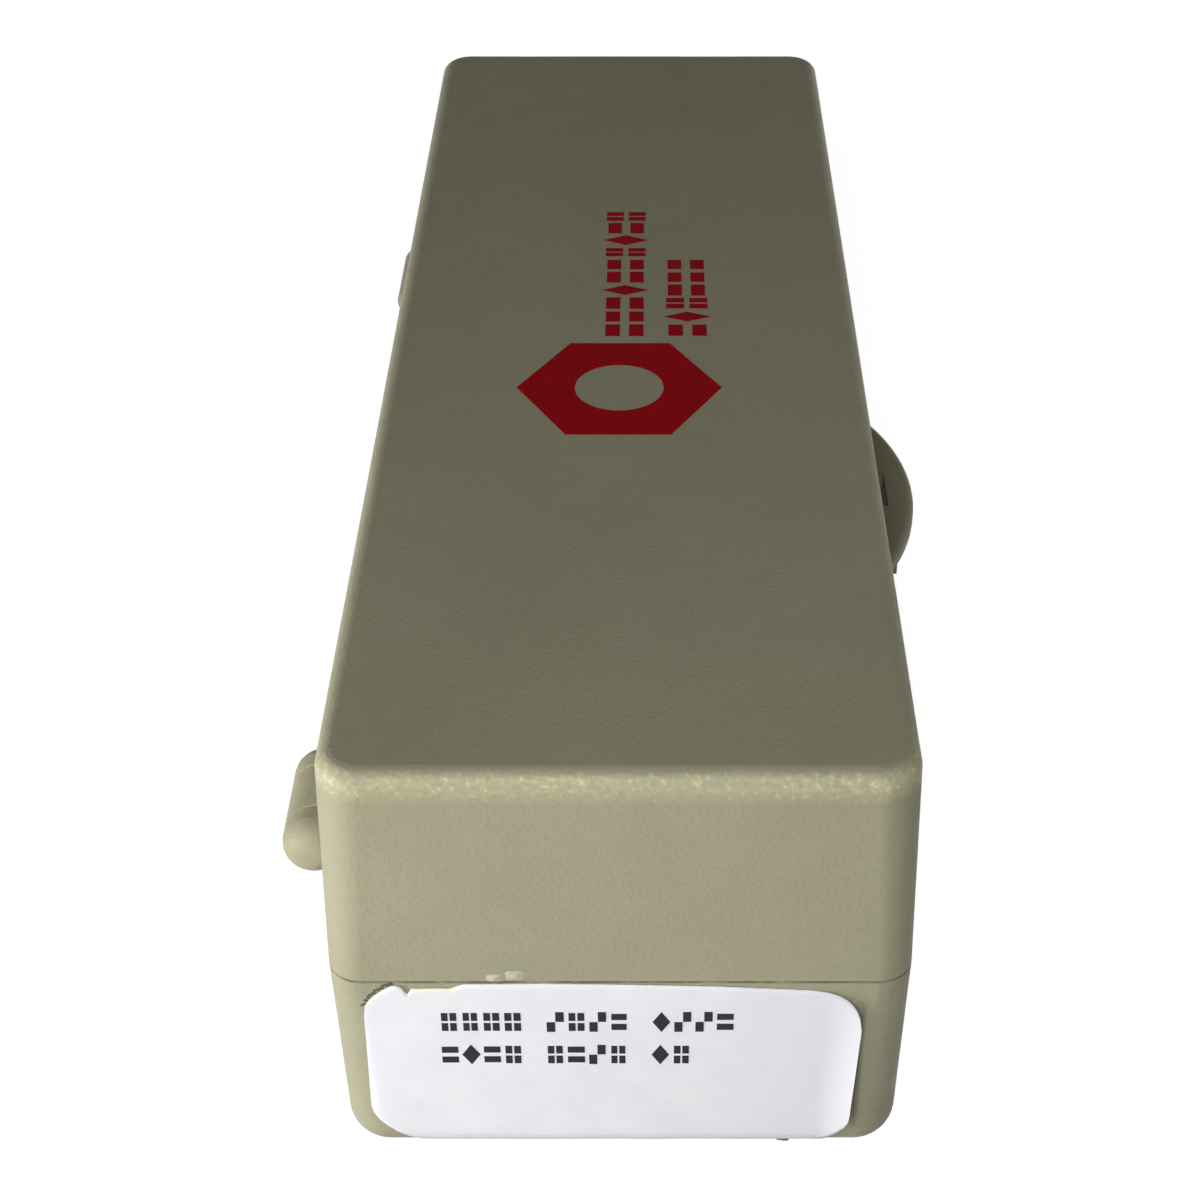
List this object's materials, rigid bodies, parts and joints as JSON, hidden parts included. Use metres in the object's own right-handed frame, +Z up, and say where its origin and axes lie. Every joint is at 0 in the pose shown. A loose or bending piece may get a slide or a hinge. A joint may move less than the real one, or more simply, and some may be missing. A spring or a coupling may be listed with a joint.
{
  "type": "plug gauge case",
  "caption": "Hinged moulded plastic case with foam inserts, opened by a thumb tab, holding a single-ended pin plug gauge in a hexagonal handle",
  "frame": {"origin": "middle of the flat underside of the base", "axes": "+Z is up out of the lid, +Y runs along the case away from the label end, +X points to the thumb tab, away from the hinges"},
  "size_m": [0.0726, 0.1712, 0.0515],
  "materials": {
    "case_plastic": "beige moulded polypropylene with a fine leather grain",
    "label_paper": "white matt sticker paper",
    "foam": "charcoal open-cell foam",
    "pin_steel": "drawn bright steel",
    "nut_steel": "turned steel",
    "gauge_steel": "lapped hardened steel",
    "handle_aluminium": "satin clear-anodised bar"
  },
  "bodies": {
    "base": {"base_shell": "case_plastic", "front_hinge_pin": "pin_steel", "rear_hinge_pin": "pin_steel", "size_label": "label_paper", "base_foam_floor": "foam", "base_foam_nest": "foam", "gauge_handle": "handle_aluminium", "go_nut": "nut_steel", "blank_nut": "nut_steel", "go_collet": "pin_steel", "blank_collet": "pin_steel", "go_pin": "gauge_steel"},
    "lid": {"lid_shell": "case_plastic", "lid_foam": "foam"}
  },
  "joints": [
    {"name": "lid_hinge", "type": "hinge", "parent": "base", "child": "lid", "pos_m": [-0.0326, 0, 0.0254], "axis": [0, -1, 0], "range_deg": [0, 170]}
  ]
}
